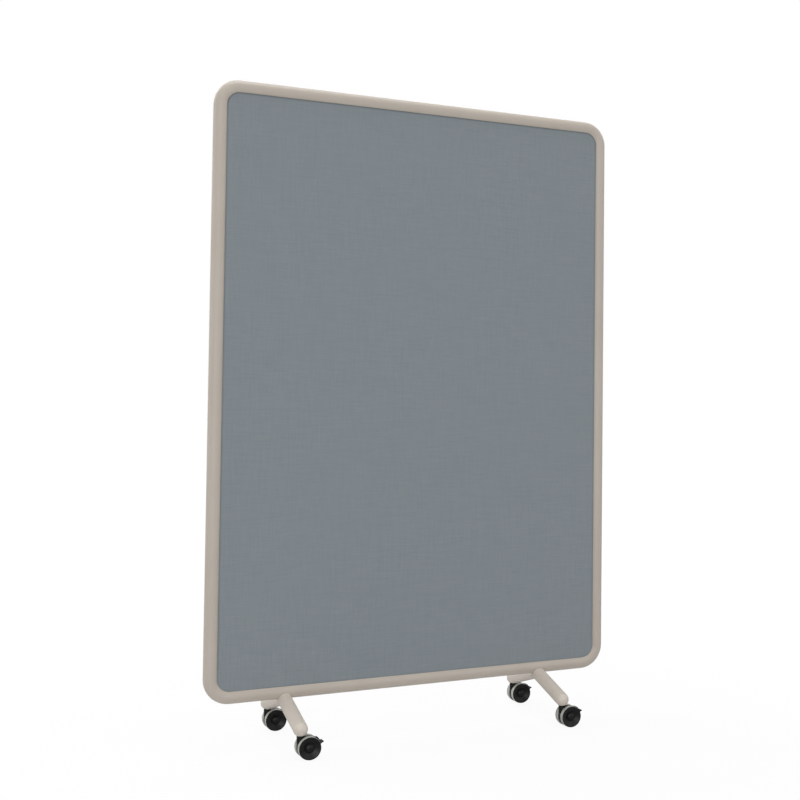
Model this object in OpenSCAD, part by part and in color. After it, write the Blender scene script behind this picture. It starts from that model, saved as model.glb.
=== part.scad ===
// Rolling partition: a fabric-faced panel held in one bent tube loop,
// standing on two inverted-V legs with four braked twin-wheel casters.
// Origin on the floor under the middle. X along the board, -Y is the front, Z up.

/* [Board] */
// Outer width of the tube loop
board_w = 1200; // [800:10:1800]
// Height of the whole partition above the floor
overall_h = 1800; // [1200:10:2200]
// Outside diameter of the frame tube
tube_d = 38; // [32:0.5:45]
// Wall of the frame tube
tube_wall = 1.5; // [1.2:0.1:3]
// Bend radius of the tube's corners, on its centre line
bend_r = 51; // [45:1:150]

/* [Panel] */
// Thickness of the stiff core between the two boards
core_t = 12; // [9:0.5:16]
// Thickness of each face board
board_t = 5; // [3:0.5:6]
// Thickness of the fabric on each board
fabric_t = 1; // [0.6:0.1:2]
// Gap between the panel's coved edge and the tube
edge_gap = 0.3; // [0.2:0.05:1]
// How far the panel reaches into the shadow of the tube, from its centre line
edge_in = 10; // [8:0.5:12]

/* [Panel fixings] */
// Thickness of the steel tabs welded inside the loop
tab_t = 3; // [2:0.5:4]
// Length of a tab along the tube
tab_len = 40; // [25:1:80]
// Reach of a tab, from the tube's centre line
tab_reach = 46; // [38:1:70]
// Play around a tab in its pocket in the core
tab_play = 0.5; // [0.3:0.1:1.5]
// Tabs up each side of the loop
side_tabs = 3; // [2:1:5]
// Tabs along the top and along the bottom
cross_tabs = 2; // [1:1:4]
// Diameter of a tab screw
tab_screw_d = 5; // [4:0.5:6]
// Head diameter of a tab screw
tab_screw_head = 9.6; // [8:0.2:12]
// How far a screw or a bolt stops short of the piece that it enters
end_short = 1; // [0.5:0.5:2]

/* [Legs] */
// Distance between the two legs along the board
leg_spacing = 766; // [400:2:1400]
// Distance between the front and rear caster stems
stem_spacing = 334; // [260:2:600]
// Diameter of a leg's arms
arm_d = 38; // [36:0.5:60]
// How far the ball in the leg's middle stands over the arms
ball_over = 0.6; // [0.3:0.1:2]
// Height of the leg's middle over its two ends
leg_rise = 48; // [10:1:90]
// Depth of the leg's middle under the tube's centre line
saddle_drop = 17.1; // [16:0.1:32]
// Gap between the leg's saddle and the tube
saddle_gap = 0.1; // [0.05:0.05:0.5]
// Width of the leg's flat seat around the caster's neck
seat_edge = 0.5; // [0.25:0.25:3]
// Diameter of the bolt that draws a leg up to the tube
leg_bolt_d = 8; // [6:1:10]
// Diameter of the bolt's round head
leg_bolt_head = 13; // [11:0.5:16]
// Height of the bolt's round head
leg_bolt_head_h = 8; // [6:0.5:10]
// Width across the flats of the bolt's hexagon socket
leg_bolt_key = 6; // [4:0.5:8]
// Play around the bolt's head in its seat
head_play = 0.5; // [0.25:0.25:1]
// Depth of the bolt's seat above the leg's inner corner
leg_bolt_deep = 11; // [9:0.5:15]
// Diameter of the threaded bush welded in the tube
bush_d = 14; // [12:0.5:18]
// Reach of that bush above the tube's centre line
bush_top = 3; // [0:0.5:8]

/* [Stems] */
// Diameter of the stem's shank in the leg
stem_d = 11; // [10:0.5:12]
// Length of the shank
stem_len = 22; // [18:1:28]
// Chamfer on both ends of the stem
stem_lead = 1; // [0.5:0.25:1.5]
// Space above the shank in its socket
socket_spare = 2; // [1:0.5:4]
// Diameter of the stem's spigot in the caster
spigot_d = 8; // [7:0.5:9]
// Length of the spigot under the collar
spigot_len = 21; // [17:0.5:23]
// Diameter of the stem's collar
collar_d = 15; // [13:0.5:16]
// Thickness of the collar
collar_t = 1.5; // [1:0.1:2.5]
// Radial depth of the grooves for the grip ring and the clip
groove_deep = 0.8; // [0.5:0.1:1]
// Height of the grip ring
grip_h = 6; // [4:0.5:8]
// Height of the grip ring's groove above the collar
grip_up = 10; // [6:0.5:12]
// Height of the swivel clip
clip_h = 1.2; // [0.8:0.1:2]
// Height of the clip's groove above the spigot's end
clip_up = 2.5; // [2:0.25:4]
// Play around the clip in the caster
clip_play = 0.3; // [0.2:0.05:0.5]
// Width of the split in the grip ring and in the clip
ring_split = 1.2; // [0.8:0.1:2]

/* [Caster] */
// Diameter over the treads
wheel_d = 60; // [54:1:75]
// Width of one wheel
wheel_w = 17.5; // [15:0.5:22]
// Space between the two wheels
wheel_gap = 13; // [13:0.5:18]
// Distance of the axle behind the stem
trail = 20; // [18:0.5:26]
// Space between the top of the wheels and the leg
wheel_clear = 1.5; // [1:0.25:4]
// Thickness of the soft tread
tread_t = 4; // [3:0.25:5]
// Rounding of the tread's shoulders
tread_round = 1.8; // [1:0.1:2.5]
// Setback of the tread from the wheel's inner face
tread_in = 1; // [0.5:0.25:2]
// Drop of the wheel's black rim below the tread
rim_drop = 0.7; // [0.4:0.1:1.5]
// Width of the black rim beside the tread
rim_w = 2.9; // [2:0.1:4]
// Rounding of the rim's outer edge
rim_round = 1.1; // [0.5:0.1:1.5]
// Width of the lip around the dish
lip_w = 2.6; // [2:0.1:4]
// Depth of the dish in the outer face
dish_deep = 6; // [3:0.25:7]
// Diameter of the domed hub cap
cap_d = 24; // [18:0.5:28]
// Thickness of the hub cap over the end of the axle
cap_wall = 2.9; // [2:0.1:4]
// Width of the flat groove around the hub cap
cap_groove = 1.2; // [0.5:0.1:2]
// Diameter of the hub around the axle
hub_d = 16; // [12:0.5:20]
// Wall of the wheel's moulding
wheel_wall = 2.4; // [1.8:0.1:3.5]
// Ribs inside a wheel
wheel_ribs = 6; // [3:1:12]
// Thickness of a rib
rib_t = 1.6; // [1:0.1:2.5]
// Setback of the ribs from the wheel's inner face
rib_back = 2.5; // [1:0.25:4]
// Diameter of the axle
axle_d = 6; // [5:0.5:8]
// Space between the end of the axle and the hub cap
axle_play = 0.3; // [0.2:0.05:0.6]
// Diameter of the caster's neck
neck_d = 20; // [19:0.5:23]
// Length of the neck, down to the shoulder over the wheels' line
neck_len = 21; // [15:0.5:25]
// Chamfer on the neck's upper edge
neck_edge = 0.6; // [0.3:0.1:1.5]
// How far the body's edge lies inside the tread
web_drop = 1.5; // [1.5:0.25:4]
// Height of the body's flat underside above the floor
floor_clear = 5; // [3:0.5:10]
// Space under the spigot in its bore
bore_spare = 0.5; // [0.25:0.25:2]
// Running gap between the body and a wheel
side_gap = 0.5; // [0.3:0.1:1]
// Gap between the caster's neck and the leg
swivel_gap = 0.3; // [0.2:0.05:0.8]
// Radial clearance of a turning shaft in its bore
run_clear = 0.05; // [0.02:0.01:0.1]
// Clearance of pieces pressed together
press_clear = 0.01; // [0.005:0.005:0.05]

/* [Brake pedal] */
// Depth of the pedal's hinge inside the tread
pivot_in = 2; // [1.5:0.25:3]
// Angle of the hinge up from the axle's level
pivot_at = 50; // [47:1:58]
// Diameter of the hinge pin
pin_d = 3; // [2.5:0.25:3.5]
// Width of the lug between the pedal's ears
lug_w = 5; // [4:0.25:6]
// Diameter of the lug and of the pedal's ears
lug_d = 7; // [6:0.25:7.5]
// Gap around the ears and the lug
hinge_gap = 0.3; // [0.2:0.05:0.5]
// Gap between the brake shoe and the treads
shoe_lift = 1.1; // [0.8:0.1:3]
// Thickness of the shoe
shoe_t = 3; // [2.5:0.25:4]
// Width of the shoe across both treads
shoe_w = 22; // [18:0.5:34]
// Angle of the shoe's upper end up from the axle's level
shoe_high = 43; // [38:1:46]
// Angle of the shoe's lower end up from the axle's level
shoe_low = 15; // [10:1:25]
// Rounding of the shoe's long edges
shoe_round = 0.9; // [0.5:0.1:1.2]
// Thickness of the two ribs under the shoe
shoe_rib_t = 2; // [1.5:0.25:2.75]
// Angle by which the ribs stop short of the shoe's lower end
rib_end = 3; // [1:1:10]
// Length of the toe piece
toe_len = 9; // [6:0.5:16]
// Slope of the toe piece
toe_up = 30; // [10:1:50]
// Thickness of the toe piece
toe_t = 2.6; // [2:0.1:4]
// How far the bead along the toe's end stands over its faces
toe_bead = 0.3; // [0.2:0.1:0.6]

/* [Hidden] */
$fn = 64;
cut = 1; // how far a cut runs past a face, and a rib into one

tube_r = tube_d / 2;
arm_r = arm_d / 2;
stem_y = stem_spacing / 2;
leg_x = leg_spacing / 2;
land_r = neck_d / 2 + seat_edge;

seat_z = wheel_d + wheel_clear;
end_z = seat_z + sqrt(pow(arm_r, 2) - pow(land_r, 2));
apex_z = end_z + leg_rise;
arm_tilt = atan2(leg_rise, stem_y);
notch_z = apex_z - arm_r / cos(arm_tilt);
low_z = round(10 * (apex_z + saddle_drop)) / 10; // to a tenth of a millimetre
high_z = overall_h - tube_r;
mid_z = (low_z + high_z) / 2;
loop_x = board_w / 2 - tube_r;
loop_z = (high_z - low_z) / 2;

panel_t = core_t + 2 * board_t + 2 * fabric_t;
core_y = core_t / 2;
board_y = core_y + board_t;

collar_z = seat_z - collar_t;
spigot_z = collar_z - spigot_len;
grip_z = seat_z + grip_up;
clip_z = spigot_z + clip_up;
neck_top = seat_z - swivel_gap;

wheel_r = wheel_d / 2;
seat_r = wheel_r - tread_t;
rim_r = wheel_r - rim_drop;
lip_r = rim_r - lip_w;
cap_r = cap_d / 2;
hub_r = hub_d / 2;
axle_r = axle_d / 2;
dish_r = cap_r + cap_groove;
dish_slope = dish_deep / (lip_r - dish_r);
bore_end = wheel_w - cap_wall;
axle_end = wheel_gap / 2 + bore_end - axle_play;

web_w = wheel_gap - 2 * side_gap;
web_r = wheel_r - web_drop;
pivot_r = wheel_r - pivot_in;
ear_w = wheel_gap / 2 - side_gap;
shoe_r = wheel_r + shoe_lift;
shoe_mid = shoe_r + shoe_t / 2;

// ---- shared shapes -------------------------------------------------------

// Points of a quarter circle round (x, y), from one angle on
function quarter(x, y, r, from, step) =
    [for (a = [from:step:from + 90]) [x + r * cos(a), y + r * sin(a)]];

// A round bar of radius r bent into the loop of the frame
module loop(r) {
    for (s = [-1, 1]) {
        translate([s * loop_x, 0, mid_z])
            cylinder(r = r, h = 2 * (loop_z - bend_r), center = true);
        translate([0, 0, mid_z + s * loop_z])
            rotate([0, 90, 0])
                cylinder(r = r, h = 2 * (loop_x - bend_r), center = true);
    }
    for (q = [0:3]) {
        sx = (q == 0 || q == 3) ? 1 : -1;
        sz = q < 2 ? 1 : -1;
        translate([sx * (loop_x - bend_r), 0, mid_z + sz * (loop_z - bend_r)])
            rotate([90, 0, 0])
                rotate([0, 0, 90 * q])
                    rotate_extrude(angle = 90)
                        translate([bend_r, 0])
                            circle(r = r);
    }
}

// Half a layer's section, from the bend's centre out to an edge coved to the tube
module layer_section(y_from, y_to) {
    difference() {
        translate([0, y_from])
            square([bend_r - edge_in, y_to - y_from]);
        translate([bend_r, 0])
            circle(r = tube_r + edge_gap);
    }
}

// A flat layer of the panel between two depths: a middle, four edge strips and four corners
module layer(y_from, y_to) {
    flat_x = loop_x - bend_r;
    flat_z = loop_z - bend_r;
    translate([0, 0, mid_z]) {
        translate([-flat_x, y_from, -flat_z])
            cube([2 * flat_x, y_to - y_from, 2 * flat_z]);
        for (s = [0, 1])
            rotate([0, 180 * s, 0]) {
                translate([flat_x, 0, -flat_z])
                    linear_extrude(height = 2 * flat_z)
                        layer_section(y_from, y_to);
                rotate([0, -90, 0])
                    translate([flat_z, 0, -flat_x])
                        linear_extrude(height = 2 * flat_x)
                            layer_section(y_from, y_to);
                for (q = [0, 1])
                    translate([q == 0 ? flat_x : -flat_x, 0, flat_z])
                        rotate([90, 0, 0])
                            rotate([0, 0, 90 * q])
                                rotate_extrude(angle = 90)
                                    layer_section(-y_to, -y_from);
            }
    }
}

// Repeats its children at every tab, local X pointing into the panel
module at_tabs() {
    side_step = 2 * loop_z / (side_tabs + 1);
    cross_step = 2 * loop_x / (cross_tabs + 1);
    for (i = [1:side_tabs], s = [0, 1])
        translate([s == 0 ? -loop_x : loop_x, 0, low_z + i * side_step])
            rotate([0, s == 0 ? 0 : 180, 0])
                children();
    for (i = [1:cross_tabs], s = [0, 1])
        translate([-loop_x + i * cross_step, 0, s == 0 ? low_z : high_z])
            rotate([0, s == 0 ? -90 : 90, 0])
                children();
}

// A tab, or its pocket when grown by the play
module tab_plate(play) {
    translate([0, -tab_t / 2 - play, -tab_len / 2 - play])
        cube([tab_reach + play, tab_t + 2 * play, tab_len + 2 * play]);
}

// A countersunk screw through the core and a tab, or its hole when grown
module tab_screw_shape(grow) {
    screw_x = (tube_r + tab_reach) / 2;
    head_h = (tab_screw_head - tab_screw_d) / 2;
    translate([screw_x, -core_y, 0])
        rotate([-90, 0, 0]) {
            cylinder(r1 = tab_screw_head / 2 + grow, r2 = tab_screw_d / 2 + grow, h = head_h);
            cylinder(d = tab_screw_d + 2 * grow, h = core_t - end_short + grow);
        }
}

// ---- board ---------------------------------------------------------------

module frame_tube() {
    color([0.72, 0.68, 0.63])
        difference() {
            loop(tube_r);
            loop(tube_r - tube_wall);
            for (s = [-1, 1])
                translate([s * leg_x, 0, low_z - tube_r - cut])
                    cylinder(d = bush_d + 2 * press_clear, h = tube_r);
        }
}

module panel_core() {
    color([0.75, 0.67, 0.52])
        difference() {
            layer(-core_y, core_y);
            at_tabs() tab_plate(tab_play);
            at_tabs() tab_screw_shape(press_clear);
        }
}

module front_board() {
    color([0.55, 0.5, 0.42])
        layer(-board_y, -core_y);
}

module rear_board() {
    color([0.55, 0.5, 0.42])
        layer(core_y, board_y);
}

module front_fabric() {
    color([0.49, 0.52, 0.54])
        layer(-panel_t / 2, -board_y);
}

module rear_fabric() {
    color([0.49, 0.52, 0.54])
        layer(board_y, panel_t / 2);
}

module panel_tabs() {
    color([0.6, 0.6, 0.6])
        difference() {
            at_tabs() tab_plate(0);
            loop(tube_r + press_clear);
            at_tabs() tab_screw_shape(press_clear);
        }
}

module tab_screws() {
    color([0.7, 0.7, 0.72])
        at_tabs() tab_screw_shape(0);
}

// ---- legs ----------------------------------------------------------------

// One arm of a leg, from the middle down to a round end over the stem on side s
module arm(s) {
    arm_len = norm([stem_y, leg_rise]);
    translate([0, 0, apex_z])
        rotate([-s * (90 + arm_tilt), 0, 0])
            rotate_extrude() {
                square([arm_r, arm_len]);
                translate([0, arm_len])
                    intersection() {
                        circle(r = arm_r);
                        square(arm_r);
                    }
            }
}

module leg() {
    difference() {
        union() {
            arm(-1);
            arm(1);
            translate([0, 0, apex_z])
                sphere(r = arm_r + ball_over);
        }
        translate([0, 0, low_z])
            rotate([0, 90, 0])
                cylinder(r = tube_r + saddle_gap, h = 2 * arm_d, center = true);
        for (s = [-1, 1])
            translate([0, s * stem_y, 0]) {
                translate([0, 0, seat_z - arm_r])
                    cylinder(r = arm_r, h = arm_r);
                translate([0, 0, seat_z - cut])
                    cylinder(d = stem_d + 2 * press_clear, h = cut + stem_len + socket_spare);
            }
        translate([0, 0, notch_z - arm_r])
            cylinder(d = leg_bolt_head + 2 * head_play, h = arm_r + leg_bolt_deep);
        translate([0, 0, notch_z])
            cylinder(d = leg_bolt_d + 2 * press_clear, h = arm_d);
    }
}

module left_leg() {
    color([0.72, 0.68, 0.63])
        translate([-leg_x, 0, 0])
            leg();
}

module right_leg() {
    color([0.72, 0.68, 0.63])
        translate([leg_x, 0, 0])
            leg();
}

module leg_bushes() {
    bush_low = low_z - sqrt(pow(tube_r - tube_wall, 2) - pow(bush_d / 2, 2)) - tube_wall / 2;
    color([0.6, 0.6, 0.6])
        for (s = [-1, 1])
            translate([s * leg_x, 0, bush_low])
                difference() {
                    cylinder(d = bush_d, h = low_z + bush_top - bush_low);
                    translate([0, 0, -cut])
                        cylinder(d = leg_bolt_d + 2 * press_clear, h = 2 * tube_d);
                }
}

module leg_bolts() {
    seat = notch_z + leg_bolt_deep;
    color([0.3, 0.3, 0.32])
        for (s = [-1, 1])
            translate([s * leg_x, 0, seat]) {
                cylinder(d = leg_bolt_d, h = low_z + bush_top - end_short - seat);
                translate([0, 0, -leg_bolt_head_h])
                    difference() {
                        cylinder(d = leg_bolt_head, h = leg_bolt_head_h);
                        translate([0, 0, -cut])
                            cylinder(d = leg_bolt_key / cos(30), h = cut + leg_bolt_head_h / 2, $fn = 6);
                    }
            }
}

// ---- caster pieces, with the stem's axis at X = 0 and the floor at Z = 0 --

// Steel stem: a shank for the leg, a collar and a spigot for the caster
module stem() {
    color([0.62, 0.63, 0.65])
        difference() {
            union() {
                translate([0, 0, seat_z])
                    cylinder(d = stem_d, h = stem_len - stem_lead);
                translate([0, 0, seat_z + stem_len - stem_lead])
                    cylinder(d1 = stem_d, d2 = stem_d - 2 * stem_lead, h = stem_lead);
                translate([0, 0, collar_z])
                    cylinder(d = collar_d, h = collar_t);
                translate([0, 0, spigot_z + stem_lead])
                    cylinder(d = spigot_d, h = spigot_len - stem_lead);
                translate([0, 0, spigot_z])
                    cylinder(d1 = spigot_d - 2 * stem_lead, d2 = spigot_d, h = stem_lead);
            }
            translate([0, 0, grip_z])
                ring(stem_d / 2 - groove_deep, stem_d, grip_h);
            translate([0, 0, clip_z])
                ring(spigot_d / 2 - groove_deep, spigot_d, clip_h);
        }
}

// A ring between two radii, standing on Z = 0
module ring(r_in, r_out, h) {
    difference() {
        cylinder(r = r_out, h = h);
        translate([0, 0, -cut])
            cylinder(r = r_in, h = h + 2 * cut);
    }
}

// A ring of spring steel that seats in a groove and is split on its +X side
module split_ring(groove_r, r_out, groove_h) {
    difference() {
        translate([0, 0, press_clear])
            ring(groove_r + press_clear, r_out, groove_h - 2 * press_clear);
        translate([0, -ring_split / 2, -cut])
            cube([2 * r_out, ring_split, groove_h + 2 * cut]);
    }
}

// Split ring that holds the shank in the leg
module grip_ring() {
    color([0.5, 0.5, 0.52])
        translate([0, 0, grip_z])
            split_ring(stem_d / 2 - groove_deep, stem_d / 2, grip_h);
}

// Split clip that keeps the caster on its spigot
module swivel_clip() {
    color([0.5, 0.5, 0.52])
        translate([0, 0, clip_z])
            split_ring(spigot_d / 2 - groove_deep, spigot_d / 2 + groove_deep, clip_h);
}

// Puts its children on the axle, with local Z along the axle towards -Y
module on_axle() {
    translate([trail, 0, wheel_r])
        rotate([90, 0, 0])
            children();
}

// Puts its children on the pedal's hinge
module on_hinge() {
    on_axle()
        translate([pivot_r * cos(pivot_at), pivot_r * sin(pivot_at), 0])
            children();
}

// Moulded body: a plate between the wheels, a neck and a lug for the pedal
module caster_body() {
    color([0.11, 0.11, 0.11])
        difference() {
            union() {
                web();
                neck();
                on_hinge()
                    cylinder(d = lug_d, h = lug_w, center = true);
            }
            translate([0, 0, spigot_z - bore_spare])
                cylinder(d = spigot_d + 2 * run_clear, h = seat_z);
            translate([0, 0, clip_z - clip_play])
                cylinder(r = spigot_d / 2 + groove_deep + clip_play, h = clip_h + 2 * clip_play);
            translate([0, 0, collar_z - swivel_gap])
                cylinder(d = collar_d + 2 * swivel_gap, h = wheel_r);
            on_axle()
                cylinder(d = axle_d + 2 * press_clear, h = 2 * wheel_gap, center = true);
            on_hinge()
                cylinder(d = pin_d + 2 * press_clear, h = 2 * wheel_gap, center = true);
        }
}

// Round plate between the wheels, flat underneath, with a pocket on each side for an ear of the pedal
module web() {
    difference() {
        on_axle()
            cylinder(r = web_r, h = web_w, center = true);
        translate([-wheel_d, -wheel_gap, floor_clear - wheel_d])
            cube([3 * wheel_d, 2 * wheel_gap, wheel_d]);
        on_hinge()
            for (s = [-1, 1])
                translate([0, 0, s * (lug_w + wheel_gap) / 2])
                    cylinder(d = lug_d + 2 * hinge_gap, h = wheel_gap, center = true);
    }
}

// Round neck under the leg, cut away where the wheels turn and trimmed to their circle below
module neck() {
    shoulder_z = neck_top - neck_len;
    difference() {
        intersection() {
            union() {
                cylinder(d = neck_d, h = neck_top - neck_edge);
                translate([0, 0, neck_top - neck_edge])
                    cylinder(d1 = neck_d, d2 = neck_d - 2 * neck_edge, h = neck_edge);
            }
            union() {
                translate([-neck_d, -neck_d, shoulder_z])
                    cube([2 * neck_d, 2 * neck_d, wheel_d]);
                on_axle()
                    cylinder(r = wheel_r - side_gap, h = 2 * neck_d, center = true);
            }
        }
        on_axle()
            for (s = [-1, 1])
                translate([0, 0, s * (web_w / 2 + wheel_w)])
                    cylinder(r = wheel_r + 2 * side_gap, h = 2 * wheel_w, center = true);
    }
}

module axle() {
    color([0.62, 0.63, 0.65])
        on_axle()
            cylinder(d = axle_d, h = 2 * axle_end, center = true);
}

// One wheel's moulding on local Z: inner face at Z = 0, dished outer face and hub cap at Z = wheel_w
module wheel_shape() {
    bore = axle_r + run_clear;
    dish_z = wheel_w - dish_deep;
    under_z = dish_z - wheel_wall;
    cavity_r = seat_r - wheel_wall;
    cavity_z = under_z + dish_slope * (cavity_r - dish_r);
    rotate_extrude()
        polygon(concat(
            [[bore, 0], [hub_r, 0], [hub_r, under_z], [dish_r, under_z], [cavity_r, cavity_z],
             [cavity_r, 0], [seat_r - press_clear, 0], [seat_r - press_clear, wheel_w - rim_w],
             [rim_r, wheel_w - rim_w]],
            quarter(rim_r - rim_round, wheel_w - rim_round, rim_round, 0, 22.5),
            [[lip_r, wheel_w], [dish_r, dish_z]],
            [for (a = [0:15:75]) [cap_r * cos(a), dish_z + dish_deep * sin(a)]],
            [[0, wheel_w], [0, bore_end], [bore, bore_end]]));
    for (i = [0:wheel_ribs - 1])
        rotate([90, 0, 360 * i / wheel_ribs])
            linear_extrude(height = rib_t, center = true)
                polygon([[hub_r - cut, rib_back], [cavity_r + cut, rib_back],
                    [cavity_r + cut, cavity_z + cut],
                    [dish_r, under_z + cut], [hub_r - cut, under_z + cut]]);
}

// One soft tread ring with rounded shoulders
module tread_shape() {
    outer = wheel_w - rim_w - press_clear;
    round_r = wheel_r - tread_round;
    rotate_extrude()
        polygon(concat(
            [[seat_r, tread_in]],
            quarter(round_r, tread_in + tread_round, tread_round, -90, 22.5),
            quarter(round_r, outer - tread_round, tread_round, 0, 22.5),
            [[seat_r, outer]]));
}

// Puts a wheel piece on side s of the caster, -1 at the front
module on_side(s) {
    translate([trail, 0, wheel_r])
        rotate([-s * 90, 0, 0])
            translate([0, 0, wheel_gap / 2])
                children();
}

module wheel(s) {
    color([0.11, 0.11, 0.11])
        on_side(s) wheel_shape();
}

module tread(s) {
    color([0.68, 0.68, 0.66])
        on_side(s) tread_shape();
}

// Brake pedal: two ears on the pin, two ribs between the wheels, a curved shoe over both treads and a toe
module pedal() {
    color([0.11, 0.11, 0.11])
        difference() {
            union() {
                on_hinge()
                    cylinder(d = lug_d, h = 2 * ear_w, center = true);
                on_axle() {
                    ribs();
                    shoe();
                    toe();
                }
            }
            on_hinge()
                cylinder(d = pin_d + 2 * run_clear, h = 2 * wheel_gap, center = true);
            on_hinge()
                cylinder(d = lug_d + 2 * hinge_gap, h = lug_w + 2 * hinge_gap, center = true);
        }
}

// A bar of the given section, bent round the axle from one angle to another
module bent(from, to) {
    rotate([0, 0, from])
        rotate_extrude(angle = to - from)
            children();
}

// Ribs that join the ears to the shoe and stiffen it, as far from the body as the shoe is from the treads
module ribs() {
    rib_in = web_r + shoe_lift;
    ear_t = ear_w - lug_w / 2 - hinge_gap;
    bent(shoe_low + rib_end, (shoe_high + pivot_at) / 2)
        for (s = [-1, 1])
            translate([rib_in, s * (ear_w - ear_t / 2) - shoe_rib_t / 2])
                square([shoe_mid - rib_in, shoe_rib_t]);
}

// Curved shoe that follows the treads down from the hinge
module shoe() {
    side = shoe_w / 2 - shoe_round;
    near = shoe_r + shoe_round;
    far = shoe_r + shoe_t - shoe_round;
    bent(shoe_low, shoe_high)
        polygon(concat(
            quarter(near, -side, shoe_round, 180, 30),
            quarter(far, -side, shoe_round, 270, 30),
            quarter(far, side, shoe_round, 0, 30),
            quarter(near, side, shoe_round, 90, 30)));
}

// Toe piece that turns up and out from the shoe's lower end, with a bead along its end
module toe() {
    reach = toe_len - toe_t / 2;
    translate([shoe_mid * cos(shoe_low), shoe_mid * sin(shoe_low), 0])
        rotate([0, 0, toe_up])
            linear_extrude(height = shoe_w - shoe_round, center = true) {
                translate([0, -toe_t / 2])
                    square([reach, toe_t]);
                for (x = [0, reach])
                    translate([x, 0])
                        circle(d = toe_t + 2 * toe_bead);
            }
}

module pin() {
    color([0.62, 0.63, 0.65])
        on_hinge()
            cylinder(d = pin_d, h = 2 * ear_w, center = true);
}

// ---- the four casters ----------------------------------------------------

module front_left() {
    translate([-leg_x, -stem_y, 0]) children();
}

module front_right() {
    translate([leg_x, -stem_y, 0]) children();
}

module rear_left() {
    translate([-leg_x, stem_y, 0]) children();
}

module rear_right() {
    translate([leg_x, stem_y, 0]) children();
}

module front_left_stem() { front_left() stem(); }
module front_left_grip_ring() { front_left() grip_ring(); }
module front_left_clip() { front_left() swivel_clip(); }
module front_left_body() { front_left() caster_body(); }
module front_left_axle() { front_left() axle(); }
module front_left_front_wheel() { front_left() wheel(-1); }
module front_left_rear_wheel() { front_left() wheel(1); }
module front_left_front_tread() { front_left() tread(-1); }
module front_left_rear_tread() { front_left() tread(1); }
module front_left_pedal() { front_left() pedal(); }
module front_left_pin() { front_left() pin(); }

module front_right_stem() { front_right() stem(); }
module front_right_grip_ring() { front_right() grip_ring(); }
module front_right_clip() { front_right() swivel_clip(); }
module front_right_body() { front_right() caster_body(); }
module front_right_axle() { front_right() axle(); }
module front_right_front_wheel() { front_right() wheel(-1); }
module front_right_rear_wheel() { front_right() wheel(1); }
module front_right_front_tread() { front_right() tread(-1); }
module front_right_rear_tread() { front_right() tread(1); }
module front_right_pedal() { front_right() pedal(); }
module front_right_pin() { front_right() pin(); }

module rear_left_stem() { rear_left() stem(); }
module rear_left_grip_ring() { rear_left() grip_ring(); }
module rear_left_clip() { rear_left() swivel_clip(); }
module rear_left_body() { rear_left() caster_body(); }
module rear_left_axle() { rear_left() axle(); }
module rear_left_front_wheel() { rear_left() wheel(-1); }
module rear_left_rear_wheel() { rear_left() wheel(1); }
module rear_left_front_tread() { rear_left() tread(-1); }
module rear_left_rear_tread() { rear_left() tread(1); }
module rear_left_pedal() { rear_left() pedal(); }
module rear_left_pin() { rear_left() pin(); }

module rear_right_stem() { rear_right() stem(); }
module rear_right_grip_ring() { rear_right() grip_ring(); }
module rear_right_clip() { rear_right() swivel_clip(); }
module rear_right_body() { rear_right() caster_body(); }
module rear_right_axle() { rear_right() axle(); }
module rear_right_front_wheel() { rear_right() wheel(-1); }
module rear_right_rear_wheel() { rear_right() wheel(1); }
module rear_right_front_tread() { rear_right() tread(-1); }
module rear_right_rear_tread() { rear_right() tread(1); }
module rear_right_pedal() { rear_right() pedal(); }
module rear_right_pin() { rear_right() pin(); }

frame_tube();
panel_core();
front_board();
rear_board();
front_fabric();
rear_fabric();
panel_tabs();
tab_screws();
left_leg();
right_leg();
leg_bushes();
leg_bolts();
front_left_stem();
front_left_grip_ring();
front_left_clip();
front_left_body();
front_left_axle();
front_left_front_wheel();
front_left_rear_wheel();
front_left_front_tread();
front_left_rear_tread();
front_left_pedal();
front_left_pin();
front_right_stem();
front_right_grip_ring();
front_right_clip();
front_right_body();
front_right_axle();
front_right_front_wheel();
front_right_rear_wheel();
front_right_front_tread();
front_right_rear_tread();
front_right_pedal();
front_right_pin();
rear_left_stem();
rear_left_grip_ring();
rear_left_clip();
rear_left_body();
rear_left_axle();
rear_left_front_wheel();
rear_left_rear_wheel();
rear_left_front_tread();
rear_left_rear_tread();
rear_left_pedal();
rear_left_pin();
rear_right_stem();
rear_right_grip_ring();
rear_right_clip();
rear_right_body();
rear_right_axle();
rear_right_front_wheel();
rear_right_rear_wheel();
rear_right_front_tread();
rear_right_rear_tread();
rear_right_pedal();
rear_right_pin();
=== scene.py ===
# %% [markdown]
# # A rolling partition
#
# The object is an office screen. One round steel tube is bent into a loop and painted greige. A slate,
# fabric-faced board fills the loop. Two inverted-V legs hold the loop up, and each leg stands on two
# swivel casters with twin wheels and a brake pedal.
#
# The engineering model already holds every rigid piece at its real size. This lesson dresses it: it
# stretches cloth over the board, gives each piece the finish that it has on the real screen, and sets
# up a plain studio with the camera where the photographer stood. Everything is in metres. X runs along
# the board, -Y is the front and Z is up.

import math

import bmesh
import bpy
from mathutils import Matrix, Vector, noise


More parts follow.
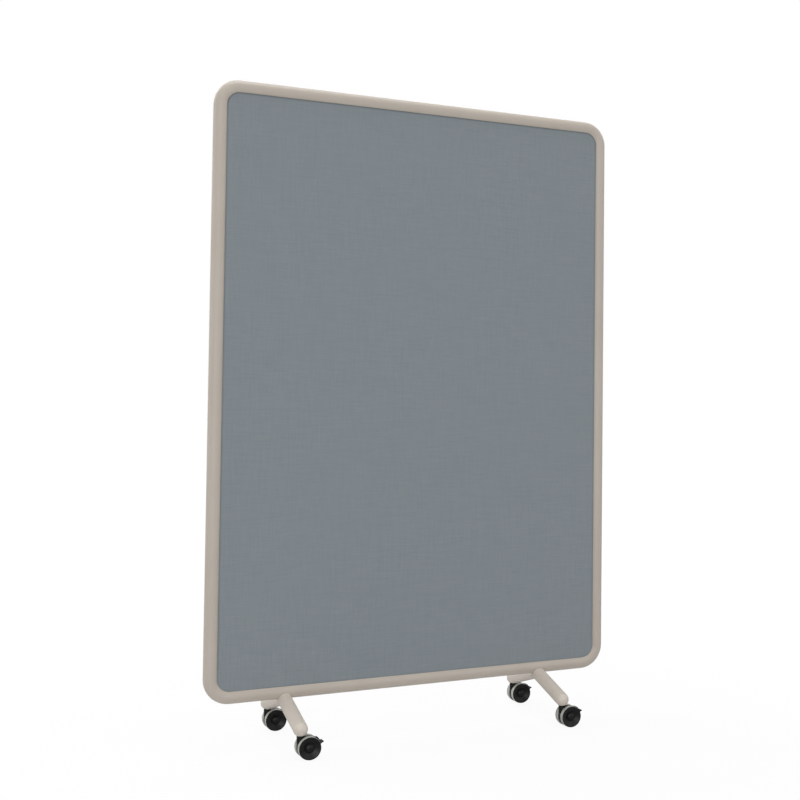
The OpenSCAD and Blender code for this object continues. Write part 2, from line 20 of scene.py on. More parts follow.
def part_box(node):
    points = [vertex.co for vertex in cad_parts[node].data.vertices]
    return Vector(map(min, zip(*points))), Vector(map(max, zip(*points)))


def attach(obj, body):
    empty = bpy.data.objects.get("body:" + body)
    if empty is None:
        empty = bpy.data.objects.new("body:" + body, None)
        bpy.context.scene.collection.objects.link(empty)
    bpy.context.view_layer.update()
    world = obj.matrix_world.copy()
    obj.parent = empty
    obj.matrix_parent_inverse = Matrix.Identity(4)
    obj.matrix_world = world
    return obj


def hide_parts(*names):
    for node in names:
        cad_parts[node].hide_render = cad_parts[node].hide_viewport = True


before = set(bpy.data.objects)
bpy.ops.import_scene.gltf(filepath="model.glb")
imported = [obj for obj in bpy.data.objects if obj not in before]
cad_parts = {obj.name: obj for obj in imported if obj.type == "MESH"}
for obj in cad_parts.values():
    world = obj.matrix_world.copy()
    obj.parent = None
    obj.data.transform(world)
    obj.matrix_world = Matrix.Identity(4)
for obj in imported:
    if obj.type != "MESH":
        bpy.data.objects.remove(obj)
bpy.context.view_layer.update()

# %% [markdown]
# ## Reading the sizes off the frame
#
# A dresser measures the furniture before cutting any cloth. The board sits in the loop of tube, so the
# cloth needs the line that the middle of the tube follows: a rectangle with rounded corners. Boxes give
# most of it: the tube's box gives the loop's outside, and the cloth's and the board's boxes give their
# depths. A box doesn't show how thick the tube is or how tightly it is bent, so these two are written.

# %% Measure the loop and the board
tube_low, tube_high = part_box("frame_tube")
face_depth = -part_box("front_fabric")[0].y    # from the middle of the board to the face of the cloth
board_depth = -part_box("front_board")[0].y    # from there to the face of the bare board

TUBE_RADIUS = 0.019                          # a 38 mm steel tube
BEND_RADIUS = 0.051                          # bend of its corners, on the tube's middle line
loop_middle = Vector((0, 0, (tube_low.z + tube_high.z) / 2))
loop_half_width = tube_high.x - TUBE_RADIUS
loop_half_height = tube_high.z - TUBE_RADIUS - loop_middle.z
print("loop of tube, half size in mm:", round(1000 * loop_half_width, 1), round(1000 * loop_half_height, 1))
print("cloth face at", round(1000 * face_depth, 2), "mm, bare board at", round(1000 * board_depth, 2), "mm")

# %% [markdown]
# ## The camera
#
# The photographer stood in front of the screen, to the left of it, with the lens level with the middle
# of the board. The picture was then cropped, which is why the lens has a shift: the middle of the
# lens isn't in the middle of the picture. The angles are an azimuth round the screen, an elevation
# and a small roll, and the three axes of the camera follow from them. Building the axes by hand keeps
# the meaning of each number plain, where three Euler angles would hide it.

# %% Stand the camera where the photographer stood
CAMERA_PLACE = Vector((-1.3571, -3.5360, 0.9422))
CAMERA_AZIMUTH = math.radians(-28.156)    # from straight in front, negative to the left
CAMERA_ELEVATION = math.radians(-2.168)   # negative: the lens tips up a little
CAMERA_ROLL = math.radians(0.438)
LENS_MM = 58.63
SENSOR_MM = 36.0
LENS_SHIFT = (-0.23, -0.0625)


def camera_axes(azimuth, elevation, roll):
    """Right, up and backward axes of a camera that looks at the screen."""
    backward = Vector((math.sin(azimuth) * math.cos(elevation),
                       -math.cos(azimuth) * math.cos(elevation),
                       math.sin(elevation)))
    level = Vector((math.cos(azimuth), math.sin(azimuth), 0))
    upright = backward.cross(level)
    right = math.cos(roll) * level + math.sin(roll) * upright
    up = math.cos(roll) * upright - math.sin(roll) * level
    return right, up, backward


def add_camera():
    data = bpy.data.cameras.new("camera")
    data.lens = LENS_MM
    data.sensor_width = SENSOR_MM
    data.shift_x, data.shift_y = LENS_SHIFT
    data.clip_end = 200
    camera = bpy.data.objects.new("camera", data)
    bpy.context.scene.collection.objects.link(camera)
    right, up, backward = camera_axes(CAMERA_AZIMUTH, CAMERA_ELEVATION, CAMERA_ROLL)
    for column, axis in enumerate((right, up, backward, CAMERA_PLACE)):
        for row in range(3):
            camera.matrix_world[row][column] = axis[row]
    return camera


bpy.context.scene.camera = add_camera()
bpy.context.scene.view_settings.view_transform = "Standard"
print("camera", [round(value, 3) for value in CAMERA_PLACE], "lens", LENS_MM, "mm")

# %% [markdown]
# ## The studio
#
# Catalogue pictures of furniture are lit by large soft boxes, so that nothing is harsh and every colour
# reads as it is. A dim, even world stands for the light that a studio's white walls throw back.
#
# What the camera sees behind the object is a separate matter from what lights it. The world's Light
# Path node answers "white" to camera, glossy and transmission rays, and gives the real, dimmer light to
# all others, so the background is white and the object isn't flooded.

# %% An even world that looks white
WORLD_LIGHT = 0.18          # strength of the even light
WORLD_TINT = (1.0, 0.995, 0.985, 1)


def seen_directly(nodes, links, by_camera, by_mirrors):
    """by_camera for camera rays, by_mirrors for glossy and transmission rays, 0 for all others.

    Each is a number or the output of a node.
    """
    path = nodes.new("ShaderNodeLightPath")
    mirrors = nodes.new("ShaderNodeMath")
    mirrors.operation = "MAXIMUM"
    links.new(path.outputs["Is Glossy Ray"], mirrors.inputs[0])
    links.new(path.outputs["Is Transmission Ray"], mirrors.inputs[1])
    shares = []
    for seen, share in ((path.outputs["Is Camera Ray"], by_camera), (mirrors.outputs[0], by_mirrors)):
        scale = nodes.new("ShaderNodeMath")
        scale.operation = "MULTIPLY"
        if isinstance(share, bpy.types.NodeSocket):
            links.new(share, scale.inputs[1])
        else:
            scale.inputs[1].default_value = share
        links.new(seen, scale.inputs[0])
        shares.append(scale.outputs[0])
    total = nodes.new("ShaderNodeMath")
    total.operation = "ADD"
    links.new(shares[0], total.inputs[0])
    links.new(shares[1], total.inputs[1])
    return total.outputs[0]


def build_world():
    world = bpy.data.worlds.new("studio")
    world.use_nodes = True
    nodes, links = world.node_tree.nodes, world.node_tree.links
    nodes.clear()
    lit = nodes.new("ShaderNodeBackground")
    lit.inputs["Color"].default_value = WORLD_TINT
    lit.inputs["Strength"].default_value = WORLD_LIGHT
    white = nodes.new("ShaderNodeBackground")
    white.inputs["Color"].default_value = (1, 1, 1, 1)
    white.inputs["Strength"].default_value = 1.0
    choose = nodes.new("ShaderNodeMixShader")
    output = nodes.new("ShaderNodeOutputWorld")
    links.new(seen_directly(nodes, links, 1, 1), choose.inputs["Fac"])
    links.new(lit.outputs[0], choose.inputs[1])
    links.new(white.outputs[0], choose.inputs[2])
    links.new(choose.outputs[0], output.inputs["Surface"])
    bpy.context.scene.world = world
    return world


print("world:", build_world().name, "lights the object at", WORLD_LIGHT)

# %% [markdown]
# Every soft box is a square of 4 m that hangs 8 m from the middle of the screen, so only its direction and
# its power are left to choose. The strongest hangs overhead and models the round tube from top to
# bottom. One beside the camera lights the cloth evenly, and one behind the screen on the left gives the
# tube its thin bright rim and lights the back. A weaker one from the left puts the glint on the black
# wheels, and the rest open up the right side.

# %% Soft boxes
LAMP_TARGET = Vector((0, 0, 0.9))
LAMP_DISTANCE = 8.0
LAMP_SIZE = 4.0
LAMPS = {
    # name: (azimuth from straight in front in degrees, elevation, watts)
    "overhead_lamp": (0, 88, 358.0),
    "front_lamp": (-20, 8, 225.0),
    "left_lamp": (-100, 15, 129.0),
    "fill_lamp": (30, 15, 61.0),
    "right_lamp": (80, 25, 55.0),
    "rear_right_lamp": (150, 35, 56.0),
    "rear_left_lamp": (-150, 35, 232.0),
}


def add_lamp(name, azimuth, elevation, watts):
    data = bpy.data.lights.new(name, "AREA")
    data.shape = "SQUARE"
    data.size = LAMP_SIZE
    data.energy = watts
    lamp = bpy.data.objects.new(name, data)
    bpy.context.scene.collection.objects.link(lamp)
    toward_lamp = camera_axes(math.radians(azimuth), math.radians(elevation), 0)[2]
    lamp.location = LAMP_TARGET + LAMP_DISTANCE * toward_lamp
    lamp.rotation_mode = "QUATERNION"
    lamp.rotation_quaternion = toward_lamp.to_track_quat("Z", "Y")
    lamp.visible_camera = False
    return lamp


for lamp_name, (azimuth, elevation, watts) in LAMPS.items():
    add_lamp(lamp_name, azimuth, elevation, watts)
    print(lamp_name, watts, "W")

# %% [markdown]
# ## The floor
#
# The floor is a wide disc of matt white. On its own it would come out light grey, darker far from the
# lamps. So for the rays that see it directly, part of its shading is swapped for plain white. To the
# camera that part is large near the screen, where it leaves a faint shadow under the casters, and it
# grows to the whole further out, as on a photographer's paper sweep. In shiny pieces the part is smaller,
# so that the black wheels mirror the shade between them and the floor.

# %% A white floor that keeps the shadow
FLOOR_RADIUS = 14.0
FLOOR_TONE = 0.65
WHITE_NEAR = 0.9             # share of plain white in what the camera sees of the floor by the casters
WHITE_FROM, WHITE_ALL = 1.0, 2.6   # distances between which that share grows to the whole
WHITE_IN_MIRRORS = 0.25      # the share in what shiny pieces see of the floor
WHITE_STRENGTH = 1.03


def floor_finish():
    material = bpy.data.materials.new("floor_white")
    material.use_nodes = True
    nodes, links = material.node_tree.nodes, material.node_tree.links
    nodes.clear()
    matt = nodes.new("ShaderNodeBsdfDiffuse")
    matt.inputs["Color"].default_value = (FLOOR_TONE, FLOOR_TONE, FLOOR_TONE, 1)
    white = nodes.new("ShaderNodeEmission")
    white.inputs["Color"].default_value = (1, 1, 1, 1)
    white.inputs["Strength"].default_value = WHITE_STRENGTH
    place = nodes.new("ShaderNodeTexCoord")
    away = nodes.new("ShaderNodeVectorMath")
    away.operation = "LENGTH"
    links.new(place.outputs["Object"], away.inputs[0])
    near = nodes.new("ShaderNodeMapRange")
    links.new(away.outputs["Value"], near.inputs["Value"])
    for socket, number in zip(("From Min", "From Max", "To Min", "To Max"),
                              (WHITE_FROM, WHITE_ALL, WHITE_NEAR, 1)):
        near.inputs[socket].default_value = number
    both = nodes.new("ShaderNodeMixShader")
    output = nodes.new("ShaderNodeOutputMaterial")
    links.new(seen_directly(nodes, links, near.outputs[0], WHITE_IN_MIRRORS), both.inputs["Fac"])
    links.new(matt.outputs[0], both.inputs[1])
    links.new(white.outputs[0], both.inputs[2])
    links.new(both.outputs[0], output.inputs["Surface"])
    return material


def add_floor():
    mesh = bpy.data.meshes.new("floor")
    shape = bmesh.new()
    bmesh.ops.create_circle(shape, cap_ends=True, radius=FLOOR_RADIUS, segments=96)
    shape.to_mesh(mesh)
    shape.free()
    floor = bpy.data.objects.new("floor", mesh)
    bpy.context.scene.collection.objects.link(floor)
    mesh.materials.append(floor_finish())
    return floor


print("floor:", add_floor().name, FLOOR_RADIUS, "m in radius")

# %% [markdown]
# ## How the finishes are built
#
# Colours are easiest to choose as they look on a screen, from 0 to 255. Blender reckons with amounts of
# light instead, so a small function turns the one into the other.

# %% Colours as they look on a screen
def colour(red, green, blue):
    """A colour given as it looks on a screen, 0 to 255, as Blender wants it."""
    def linear(value):
        share = value / 255
        return share / 12.92 if share <= 0.04045 else ((share + 0.055) / 1.055) ** 2.4
    return linear(red), linear(green), linear(blue), 1.0


print("a mid grey on the screen is", round(colour(128, 128, 128)[0], 3), "to Blender")

# %% [markdown]
# Every finish is made of the same few ingredients, so each one gets a small helper here. A finish
# starts from a Principled shader whose fixed values (sheen, coat, how much it mirrors) are set on its
# own sockets. Its colour, roughness and bump come from noise that is measured in metres of the object
# itself, so a grain of 1 mm stays a grain of 1 mm on every piece, and it travels with a piece that
# turns. No picture is used: noise has no seams and needs no unwrapping.

# %% Helpers for the finishes
class Finish:
    """A material with helpers that add one node each and return its output."""

    def __init__(self, name, **fixed):
        self.material = bpy.data.materials.new(name)
        self.material.use_nodes = True
        self.tree = self.material.node_tree
        self.shader = self.tree.nodes["Principled BSDF"]
        for socket, value in fixed.items():
            self.shader.inputs[socket.replace("_", " ")].default_value = value
        self.place = self.tree.nodes.new("ShaderNodeTexCoord").outputs["Object"]

    def add(self, kind, **settings):
        node = self.tree.nodes.new(kind)
        for name, value in settings.items():
            setattr(node, name, value)
        return node

    def feed(self, value, socket):
        """Puts a number, a colour or another node's output into a socket."""
        if isinstance(value, bpy.types.NodeSocket):
            self.tree.links.new(value, socket)
        else:
            socket.default_value = value

    def noise(self, size, detail=2.0, stretch=(1, 1, 1), soft=0.5):
        """Noise whose blotches are about size metres across, 0 to 1."""
        node = self.add("ShaderNodeTexNoise")
        scaled = self.vector("MULTIPLY", self.place, [1 / (size * axis) for axis in stretch])
        self.feed(scaled, node.inputs["Vector"])
        node.inputs["Scale"].default_value = 1.0
        node.inputs["Detail"].default_value = detail
        node.inputs["Roughness"].default_value = soft
        return node.outputs["Fac"]

    def math(self, operation, first, second=0.0):
        node = self.add("ShaderNodeMath", operation=operation)
        self.feed(first, node.inputs[0])
        self.feed(second, node.inputs[1])
        return node.outputs[0]

    def vector(self, operation, first, second=(0, 0, 0)):
        node = self.add("ShaderNodeVectorMath", operation=operation)
        self.feed(first, node.inputs[0])
        self.feed(second, node.inputs[1])
        return node.outputs["Value" if operation == "LENGTH" else "Vector"]

    def fit(self, value, from_low, from_high, to_low, to_high):
        """Maps a value from one range into another, held at its ends."""
        node = self.add("ShaderNodeMapRange", clamp=True)
        self.feed(value, node.inputs["Value"])
        for socket, number in zip(("From Min", "From Max", "To Min", "To Max"),
                                  (from_low, from_high, to_low, to_high)):
            node.inputs[socket].default_value = number
        return node.outputs[0]

    def blend(self, factor, first, second):
        """A colour that goes from first to second as factor goes from 0 to 1."""
        node = self.add("ShaderNodeMix", data_type="RGBA")
        self.feed(factor, node.inputs["Factor"])
        self.feed(first, node.inputs[6])
        self.feed(second, node.inputs[7])
        return node.outputs[2]

    def relief(self, height, depth, under=None):
        """Bump of a height from 0 to 1 that stands for depth metres, over another bump."""
        node = self.add("ShaderNodeBump")
        node.inputs["Strength"].default_value = 1.0
        node.inputs["Distance"].default_value = depth
        self.feed(height, node.inputs["Height"])
        if under is not None:
            self.feed(under, node.inputs["Normal"])
        return node.outputs[0]

    def finish(self, tone, roughness, normal):
        self.feed(tone, self.shader.inputs["Base Color"])
        self.feed(roughness, self.shader.inputs["Roughness"])
        self.feed(normal, self.shader.inputs["Normal"])
        return self.material


print("helpers of a finish:", ", ".join(name for name in dir(Finish) if "_" not in name))

# %% [markdown]
# ## Powder coat
#
# The tube and the legs are powder coated: dry paint is blown on and baked, and it flows into a satin
# skin with a very fine "orange peel". Seen close, the skin has dimples about 1.5 mm across and a few
# hundredths of a millimetre deep, with a finer grain on top. Where hands hold the tube the satin is
# polished a little. A plain colour would look like plastic: the broken highlight is what says paint.
# The legs have the same coat, and their copy of it is a shade lighter: painted light for the extra light
# that falls on the legs.

# %% Powder coat for the tube and the legs
def powder_coat(name, light, dark):
    paint = Finish(name, Specular_IOR_Level=0.42, Coat_Weight=0.04, Coat_Roughness=0.3)
    cloud = paint.noise(0.16, detail=3)
    peel = paint.noise(0.0016, detail=1.5)
    grain = paint.noise(0.0004, detail=1)
    handled = paint.noise(0.07, detail=4, stretch=(1, 1, 2.5))
    tone = paint.blend(paint.fit(cloud, 0.3, 0.7, 0, 1), light, dark)
    tone = paint.blend(paint.fit(grain, 0.62, 0.8, 0, 0.16), tone, colour(214, 208, 200))
    roughness = paint.math("ADD", paint.fit(handled, 0.35, 0.7, 0.43, 0.52),
                           paint.fit(peel, 0.3, 0.7, -0.02, 0.02))
    normal = paint.relief(grain, 0.000012, under=paint.relief(peel, 0.00004))
    return paint.finish(tone, roughness, normal)


tube_paint = powder_coat("greige_powder_coat_tube", colour(190, 181, 170), colour(186, 176, 165))
# painted light: the legs' copy of the coat is made a shade lighter than the tube's
leg_paint = powder_coat("greige_powder_coat_leg", colour(214, 205, 193), colour(210, 200, 189))
print("paint:", tube_paint.name, "and", leg_paint.name)

# %% [markdown]
# ## The cloth on the board
#
# Each face of the board is wrapped in screen cloth. It is cut larger than the board, stretched, rolled
# over the edge and tucked into the hollow that the board shares with the tube, which leaves the fine
# dark joint that the photograph shows all round. A simulation would add nothing: cloth pulled tight
# over a flat board is flat. What matters is the rolled edge, so the cloth is built from its own
# section: flat, then a small roll, then down along the cove of the board.
#
# Every point of the board is told apart by its distance inward from the tube's middle line. The tube's
# line is a rounded rectangle, and all lines at a fixed distance inside it have the same corner centres,
# so one short function places them all.

# %% The lines that the cloth follows
TUBE_PLAY = 0.00015          # the tucked cloth lies midway in the gap between board and tube
ROLL = 0.0012                # how far in the cloth starts to roll over
ROLL_REACH = 0.62            # share of that distance that the roll itself takes up
ROLL_DROP = 0.0008           # how far back the roll ends
ROLL_ANGLES = (30, 60, 90)   # places on the roll, in degrees
TUCK_DEPTHS = (0.0105, 0.0095, 0.0085)   # depths of the tucked part, from the middle of the board

corner_x = loop_half_width - BEND_RADIUS
corner_z = loop_half_height - BEND_RADIUS


def inward_at(depth):
    """How far inside the tube's line the tucked cloth lies at a depth from the board's middle."""
    radius = TUBE_RADIUS + TUBE_PLAY
    return math.sqrt(radius ** 2 - depth ** 2)


def on_line(x, z, inward):
    """Moves a point of the board's edge to the line that lies inward of the tube's own line."""
    centre = Vector((min(max(x, -corner_x), corner_x), min(max(z, -corner_z), corner_z)))
    outward = (Vector((x, z)) - centre).normalized()
    return centre + outward * (BEND_RADIUS - inward)


flat_inward = inward_at(face_depth) + ROLL
section = []
for turn in map(math.radians, ROLL_ANGLES):
    section.append((flat_inward - ROLL * math.sin(turn) * ROLL_REACH,
                    face_depth - ROLL_DROP * (1 - math.cos(turn))))
section += [(inward_at(depth), depth) for depth in TUCK_DEPTHS]
print("flat to", round(1000 * flat_inward, 2), "mm inside the tube's line, then",
      [(round(1000 * s, 2), round(1000 * d, 2)) for s, d in section])

# %% [markdown]
# The flat part is a grid, dense enough to carry the small waves that stretched cloth keeps. A grid has
# square corners and the board has round ones. In each corner the square patch of the grid is bent
# into a quarter of a disc: a point (u, v) of the square goes to (u√(1 − v²/2), v√(1 − u²/2)), which
# keeps both inner sides straight and lays both outer sides on the arc.

# %% Helpers for the flat part
GRID_STEP = 0.02             # spacing of the cloth's grid
CORNER_STEPS = 9             # steps of the grid across a corner patch
WAVE = 0.00012               # height of the small waves in the stretched cloth
WAVES_PER_METRE = (3.1, 2.3)   # across and up
CALM_BAND = 0.06             # width of the band along the edge in which the waves die out


def steps_between(low, high, step):
    count = max(2, round((high - low) / step))
    return [low + (high - low) * i / count for i in range(count + 1)]


def grid_lines(half, corner):
    """Places of the grid lines along one axis: fine in the corner patches, even between them."""
    radius = half - corner
    ends = [corner + radius * i / CORNER_STEPS for i in range(1, CORNER_STEPS + 1)]
    return [-value for value in reversed(ends)] + steps_between(-corner, corner, GRID_STEP) + ends


def rounded(x, z, radius):
    """Bends the corner patches of the grid into quarter discs."""
    over_x, over_z = abs(x) - corner_x, abs(z) - corner_z
    if over_x <= 0 or over_z <= 0:
        return x, z
    u, v = over_x / radius, over_z / radius
    new_x = corner_x + radius * u * math.sqrt(1 - v * v / 2)
    new_z = corner_z + radius * v * math.sqrt(1 - u * u / 2)
    return math.copysign(new_x, x), math.copysign(new_z, z)


def wave_at(x, z, seed):
    """The cloth's small waves, which die out where it is pulled over the edge."""
    reach = min(loop_half_width - abs(x), loop_half_height - abs(z)) - flat_inward
    calm = min(max(reach / CALM_BAND, 0), 1)
    across, up = WAVES_PER_METRE
    return WAVE * calm * noise.noise(Vector((x * across, z * up, seed)))


flat_radius = BEND_RADIUS - flat_inward      # radius of the flat part's corners
columns = grid_lines(corner_x + flat_radius, corner_x)
rows = grid_lines(corner_z + flat_radius, corner_z)
print("grid of", len(columns), "by", len(rows), "points")

# %% [markdown]
# Each cover is made in two steps. First the flat face is laid out point by point and joined into
# squares. Then its rim is followed round, and for each step of the section a new ring of points is set
# and joined to the one before, which rolls the cloth over and tucks it in.

# %% The flat face, and the fold round its rim
def lay_face(shape, side, seed):
    """The flat face of a cover, as rows of points."""
    grid = []
    for z in rows:
        line = []
        for x in columns:
            px, pz = rounded(x, z, flat_radius)
            depth = face_depth - abs(wave_at(px, pz, seed))
            line.append(shape.verts.new((px, side * depth, loop_middle.z + pz)))
        grid.append(line)
    for lower, upper in zip(grid, grid[1:]):
        for i in range(len(columns) - 1):
            shape.faces.new((lower[i], lower[i + 1], upper[i + 1], upper[i]))
    return grid


def fold_rim(shape, side, grid):
    """Rolls the face's rim over the edge of the board and tucks it in beside the tube."""
    head = grid[-1][-2::-1]
    rim = grid[0] + [line[-1] for line in grid[1:]] + head + [line[0] for line in grid[-2:0:-1]]
    for inward, depth in section:
        ring = []
        for vertex in rim:
            x, z = on_line(vertex.co.x, vertex.co.z - loop_middle.z, inward)
            ring.append(shape.verts.new((x, side * depth, loop_middle.z + z)))
        for i in range(len(rim)):
            j = (i + 1) % len(rim)
            shape.faces.new((rim[j], rim[i], ring[i], ring[j]))
        rim = ring


print("a cover folds over its rim in", len(section), "rings")

# %% [markdown]
# The rear cover is made as the front one is, and its faces are then reversed so that they look outward
# too. Each cover rides on the body of the frame and stands in for the engineering model's plain fabric,
# which is hidden.

# %% Make both covers and ride them on the frame
def build_cover(name, side, seed):
    """A cloth cover on the front (side -1) or the rear (side 1) of the board."""
    shape = bmesh.new()
    fold_rim(shape, side, lay_face(shape, side, seed))
    if side > 0:
        bmesh.ops.reverse_faces(shape, faces=shape.faces[:])
    mesh = bpy.data.meshes.new(name)
    shape.to_mesh(mesh)
    shape.free()
    for face in mesh.polygons:
        face.use_smooth = True
    cover = bpy.data.objects.new(name, mesh)
    bpy.context.scene.collection.objects.link(cover)
    return cover


covers = {}
for name, side, seed, node, board in (("front_cover", -1, 1.7, "front_fabric", "front_board"),
                                      ("rear_cover", 1, 8.3, "rear_fabric", "rear_board")):
    cover = build_cover(name, side, seed)
    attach(cover, "frame")
    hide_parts(node)
    covers[name] = cover

# %% [markdown]
# ## Screen cloth
#
# Screen cloth is a plain weave of dyed polyester yarn. Warp yarns run up the board and weft yarns run
# across it, about eleven to the centimetre, and each passes over and under the others in turn. Two
# sine waves give the two sets of yarns, and the sign of their product says which one is on top. Real
# yarn is uneven: a long, thin noise along each direction makes single yarns lighter or darker, and a
# slow noise bends the rows by a fraction of a millimetre. From a few metres all that remains is an
# even slate with a soft, matt sheen, as in the photograph.
#
# Beside the joint the cloth is painted a little darker: painted shade for the shade that falls into the
# joint. It is faint at the foot, where light from above fills the joint, and strongest at the head, under
# the top tube.

# %% Slate cloth
YARN = 0.0009                            # spacing of the yarns
YARN_DRIFT = 0.0004                      # how far a row of yarns wanders
SLATE = colour(141, 149, 154)
SLATE_LIGHT = colour(151, 158, 163)
SLATE_DARK = colour(131, 139, 145)
SLATE_GAP_SHADE = colour(103, 110, 115)        # painted shade down between the yarns
# painted shade: the tone that the cloth is darkened towards beside the joint
PAINTED_JOINT_SHADE_TONE = colour(84, 89, 92)
JOINT_BAND = 0.005                       # width of the band of painted shade beside the joint
JOINT_SHADE = 0.32                       # share of the painted shade's tone in the band, at the sides
JOINT_AT_FOOT, JOINT_AT_HEAD = 0.1, 1.9  # how many times that share, at the foot and at the head
JOINT_FADE = (0.03, 0.08)                # distances from foot and head over which the share changes


def inside_line(cloth):
    """How far a point lies inside the tube's line, which is a rectangle with rounded corners."""
    from_middle = cloth.vector("MULTIPLY", cloth.vector("SUBTRACT", cloth.place, loop_middle), (1, 0, 1))
    over = cloth.vector("SUBTRACT", cloth.vector("ABSOLUTE", from_middle), (corner_x, 0, corner_z))
    in_corner = cloth.vector("LENGTH", cloth.vector("MAXIMUM", over))
    split = cloth.add("ShaderNodeSeparateXYZ")
    cloth.feed(over, split.inputs[0])
    between_corners = cloth.math("MINIMUM", cloth.math("MAXIMUM", split.outputs["X"], split.outputs["Z"]))
    return cloth.math("SUBTRACT", BEND_RADIUS, cloth.math("ADD", in_corner, between_corners))


def painted_joint_shade(cloth, height):
    """How much painted shade the cloth takes beside the joint: faint at the foot, strongest at the head."""
    foot, head = loop_middle.z - loop_half_height, loop_middle.z + loop_half_height
    near, far = JOINT_FADE
    joint = cloth.fit(inside_line(cloth), flat_inward, flat_inward + JOINT_BAND, JOINT_SHADE, 0)
    at_foot = cloth.fit(height, foot + near, foot + far, JOINT_AT_FOOT, 1)
    at_head = cloth.fit(height, head - far, head - near, 1, JOINT_AT_HEAD)
    return cloth.math("MULTIPLY", joint, cloth.math("MULTIPLY", at_foot, at_head))


def woven_slate():
    cloth = Finish("slate_screen_cloth", Specular_IOR_Level=0.18, Sheen_Weight=0.12, Sheen_Roughness=0.5)
    split = cloth.add("ShaderNodeSeparateXYZ")
    cloth.feed(cloth.place, split.inputs[0])
    drift = cloth.fit(cloth.noise(0.05, detail=1), 0.2, 0.8, -YARN_DRIFT, YARN_DRIFT)
    waves = {}
    for axis in ("X", "Z"):
        along = cloth.math("ADD", split.outputs[axis], drift)
        waves[axis] = cloth.math("SINE", cloth.math("MULTIPLY", along, math.pi / YARN))
    crown = {axis: cloth.math("ABSOLUTE", wave) for axis, wave in waves.items()}
    on_top = cloth.fit(cloth.math("MULTIPLY", waves["X"], waves["Z"]), -0.15, 0.15, 0, 1)
    warp = cloth.math("MULTIPLY", crown["X"], cloth.fit(on_top, 0, 1, 0.45, 1))
    weft = cloth.math("MULTIPLY", crown["Z"], cloth.fit(on_top, 0, 1, 1, 0.45))
    weave = cloth.math("MAXIMUM", warp, weft)
    warp_yarns = cloth.noise(YARN, detail=0, stretch=(1, 1, 60))
    weft_yarns = cloth.noise(YARN, detail=0, stretch=(60, 1, 1))
    yarn_tone = cloth.blend(on_top, weft_yarns, warp_yarns)
    tone = cloth.blend(cloth.fit(yarn_tone, 0.3, 0.7, 0, 1), SLATE_DARK, SLATE_LIGHT)
    tone = cloth.blend(cloth.fit(cloth.noise(0.35, detail=3), 0.3, 0.7, 0.35, 0.65), tone, SLATE)
    # painted shade: the cloth is darker down between the yarns
    tone = cloth.blend(cloth.fit(weave, 0.25, 0.7, 0.3, 0), tone, SLATE_GAP_SHADE)
    # painted shade beside the joint, strongest at the head
    tone = cloth.blend(painted_joint_shade(cloth, split.outputs["Z"]), tone, PAINTED_JOINT_SHADE_TONE)
    roughness = cloth.fit(weave, 0.2, 1, 0.95, 0.8)
    fuzz = cloth.noise(0.00025, detail=2)
    normal = cloth.relief(fuzz, 0.00004, under=cloth.relief(weave, 0.00016))
    return cloth.finish(tone, roughness, normal)


slate_cloth = woven_slate()
for cover in covers.values():
    cover.data.materials.append(slate_cloth)
print("cloth:", slate_cloth.name, round(0.01 / YARN, 1), "yarns to the centimetre")

# %% [markdown]
# ## Inside the board
#
# The boards and the core don't show on the finished screen, but they would on a bench. The boards are
# pressed fibre: short strands in all directions, tan and slightly furry. The core is a lighter board of
# the same family. Noise stretched along two directions gives the strands.

# %% Pressed fibre
def pressed_fibre(name, light, dark, strand):
    fibre = Finish(name, Specular_IOR_Level=0.2)
    across = fibre.noise(strand, detail=3, stretch=(9, 1, 1))
    along = fibre.noise(strand, detail=3, stretch=(1, 1, 9))
    strands = fibre.math("MAXIMUM", across, along)
    cloud = fibre.noise(0.08, detail=3)
    tone = fibre.blend(fibre.fit(strands, 0.45, 0.75, 0, 1), dark, light)
    tone = fibre.blend(fibre.fit(cloud, 0.3, 0.7, 0, 0.3), tone, dark)
    return fibre.finish(tone, fibre.fit(strands, 0.4, 0.8, 0.9, 0.78), fibre.relief(strands, 0.0001))


board_finish = pressed_fibre("tan_fibreboard", colour(158, 130, 96), colour(124, 99, 70), 0.0012)
core_finish = pressed_fibre("pale_core_board", colour(204, 184, 148), colour(176, 153, 116), 0.002)
print("fibre:", board_finish.name, "and", core_finish.name)

# %% [markdown]
# ## Steel
#
# Four steels are in the screen. The tabs and bushes are bare mild steel, with the grey bloom of rolled
# metal. Screws, stems, axles and hinge pins are zinc plated, which is brighter and faintly blue with a
# fine crystal mottle. The rings and clips are spring steel, darker and drawn along their length. The
# two leg bolts are blackened. They share one recipe: a metallic shader whose roughness is broken up by
# the mottle, with a drawn grain in the bump.

# %% Metals
def steel(name, tone, mottle_tone, rough_low, rough_high, grain):
    metal = Finish(name, Metallic=1.0)
    mottle = metal.noise(0.0011, detail=4)
    drawn = metal.noise(0.00018, detail=2, stretch=grain)
    stain = metal.noise(0.009, detail=3)
    shade = metal.blend(metal.fit(mottle, 0.35, 0.7, 0, 0.6), tone, mottle_tone)
    shade = metal.blend(metal.fit(stain, 0.55, 0.8, 0, 0.35), shade, mottle_tone)
    roughness = metal.fit(mottle, 0.3, 0.7, rough_low, rough_high)
    return metal.finish(shade, roughness, metal.relief(drawn, 0.000012))


UPWARD, ALONG_AXLE, ROUND = (1, 1, 12), (1, 12, 1), (12, 12, 1)   # stretch of the grain in X, Y and Z
STEELS = {
    # name: (tone, tone of the mottle, roughness from and to, grain)
    "bare_steel": (colour(165, 165, 166), colour(120, 117, 113), 0.38, 0.6, UPWARD),
    "zinc_steel": (colour(200, 203, 207), colour(168, 173, 181), 0.22, 0.42, ALONG_AXLE),
    "spring_steel": (colour(140, 141, 145), colour(98, 99, 104), 0.2, 0.36, ROUND),
    "black_steel": (colour(58, 58, 62), colour(38, 38, 42), 0.35, 0.55, UPWARD),
}
steels = {name: steel(name, *recipe) for name, recipe in STEELS.items()}
print("steels:", ", ".join(steels))

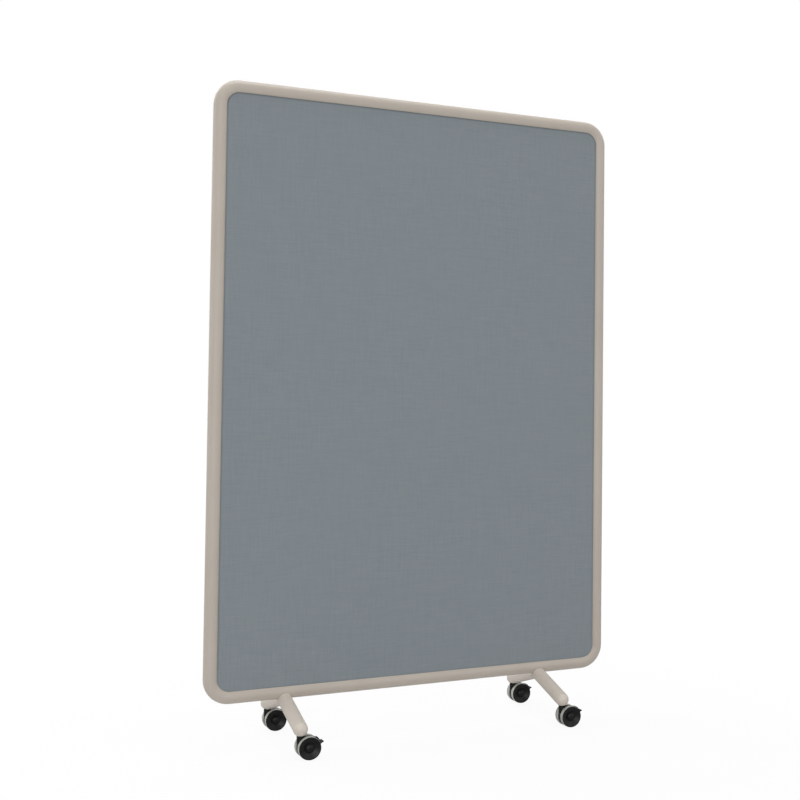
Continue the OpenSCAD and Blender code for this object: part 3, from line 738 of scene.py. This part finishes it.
# %% [markdown]
# ## Moulded nylon
#
# The wheels, the caster bodies and the brake pedals are moulded in black, glass-filled nylon. The mould
# is spark eroded, so the skin has a fine even texture that dulls the black to charcoal where light
# rakes over it. Dust from the floor clings to it as a thin grey film, in patches: the product of a
# coarse noise and a fine one. The pedal is the same plastic, but shoes have rubbed it a little smoother.

# %% Black nylon
def moulded_nylon(name, tone, dusty, rough_low, rough_high):
    nylon = Finish(name, Specular_IOR_Level=0.2)
    skin = nylon.noise(0.0005, detail=2)
    flow = nylon.noise(0.012, detail=3, stretch=(1, 1, 2))
    dust = nylon.math("MULTIPLY", nylon.noise(0.018, detail=5), nylon.noise(0.0012, detail=2))
    shade = nylon.blend(nylon.fit(flow, 0.3, 0.7, 0, 0.5), tone, colour(15, 16, 16))
    shade = nylon.blend(nylon.fit(dust, 0.26, 0.42, 0, dusty), shade, colour(118, 114, 106))
    roughness = nylon.fit(flow, 0.3, 0.7, rough_low, rough_high)
    return nylon.finish(shade, roughness, nylon.relief(skin, 0.00003))


wheel_nylon = moulded_nylon("black_wheel_nylon", colour(11, 11, 11), 0.02, 0.34, 0.44)
pedal_nylon = moulded_nylon("black_pedal_nylon", colour(11, 11, 11), 0.04, 0.32, 0.42)
print("nylon:", wheel_nylon.name, "and", pedal_nylon.name)

# %% [markdown]
# ## Treads
#
# The treads are a soft grey rubber, moulded on to the nylon so that the casters neither mark a floor nor
# rattle on it. They are matt, a little translucent, and the running surface picks up fine dirt. Dirt
# placed by height above the floor would stay behind when the wheel turns. It comes from noise in the
# tread's own measures instead, so it goes round with the tread.

# %% Grey tread rubber
def tread_rubber():
    rubber = Finish("grey_tread_rubber", Specular_IOR_Level=0.3, Subsurface_Weight=0.06)
    rubber.shader.inputs["Subsurface Radius"].default_value = (0.001, 0.001, 0.0009)
    cloud = rubber.noise(0.008, detail=3)
    dirt = rubber.math("MULTIPLY", rubber.noise(0.004, detail=5), rubber.noise(0.0006, detail=2))
    tone = rubber.blend(rubber.fit(cloud, 0.3, 0.7, 0, 1), colour(190, 191, 185), colour(182, 182, 175))
    tone = rubber.blend(rubber.fit(dirt, 0.26, 0.42, 0, 0.35), tone, colour(122, 118, 110))
    roughness = rubber.fit(cloud, 0.3, 0.7, 0.5, 0.64)
    return rubber.finish(tone, roughness, rubber.relief(rubber.noise(0.0007, detail=2), 0.00003))


rubber_finish = tread_rubber()
print("rubber:", rubber_finish.name)

# %% [markdown]
# ## Dressing the frame
#
# Each rigid piece keeps its engineering mesh and only changes its material. The record says which
# finish each piece has, by the slot that its mesh came with, so one table from slot to finish dresses
# all of them and nothing can be missed.

# %% Give every rigid piece its finish
FINISHES = {
    "frame_paint": tube_paint,
    "leg_paint": leg_paint,
    "panel_fabric": slate_cloth,
    "board_fibre": board_finish,
    "core_fibre": core_finish,
    "black_nylon": wheel_nylon,
    "pedal_nylon": pedal_nylon,
    "grey_tread": rubber_finish,
    **steels,
}
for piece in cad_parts.values():
    for place in piece.material_slots:
        place.material = FINISHES[place.material.name]
print("dressed", len(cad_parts), "rigid pieces in", len(FINISHES), "finishes")

# %% [markdown]
